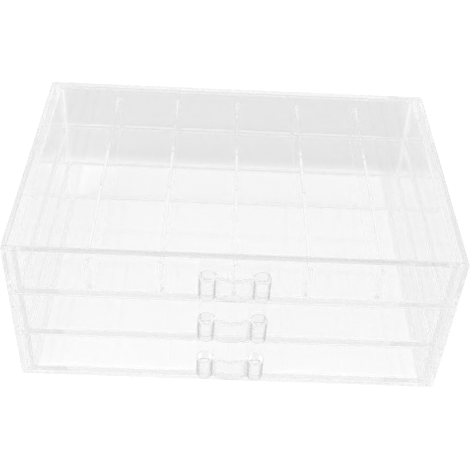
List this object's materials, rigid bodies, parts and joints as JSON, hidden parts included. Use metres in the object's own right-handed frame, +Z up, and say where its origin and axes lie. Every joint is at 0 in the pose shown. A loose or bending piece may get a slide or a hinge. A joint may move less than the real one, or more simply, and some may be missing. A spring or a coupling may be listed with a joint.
{
  "type": "drawer organizer box",
  "caption": "Clear plastic desktop organizer: an open-front case with stacked sliding drawers, bowed pull handles, and upright dividers in the top drawer.",
  "frame": {"origin": "centre of the case's underside, on the surface it stands on", "axes": "+X to the right as seen from the front, +Y from the drawer fronts to the back, +Z up"},
  "size_m": [0.24, 0.1681, 0.1],
  "materials": {
    "case_plastic": "clear, polished",
    "drawer_plastic": "clear, polished",
    "divider_plastic": "clear, polished",
    "handle_plastic": "clear, polished"
  },
  "bodies": {
    "case_body": {"case": "case_plastic"},
    "top_drawer": {"drawer_top": "drawer_plastic", "handle_top": "handle_plastic", "divider_1": "divider_plastic", "divider_2": "divider_plastic", "divider_3": "divider_plastic", "divider_4": "divider_plastic", "divider_5": "divider_plastic"},
    "middle_drawer": {"drawer_middle": "drawer_plastic", "handle_middle": "handle_plastic"},
    "bottom_drawer": {"drawer_bottom": "drawer_plastic", "handle_bottom": "handle_plastic"}
  },
  "joints": [
    {"name": "top_drawer_slide", "type": "slide", "parent": "case_body", "child": "top_drawer", "axis": [0, -1, 0], "range_m": [0, 0.13]},
    {"name": "middle_drawer_slide", "type": "slide", "parent": "case_body", "child": "middle_drawer", "axis": [0, -1, 0], "range_m": [0, 0.13]},
    {"name": "bottom_drawer_slide", "type": "slide", "parent": "case_body", "child": "bottom_drawer", "axis": [0, -1, 0], "range_m": [0, 0.13]}
  ]
}
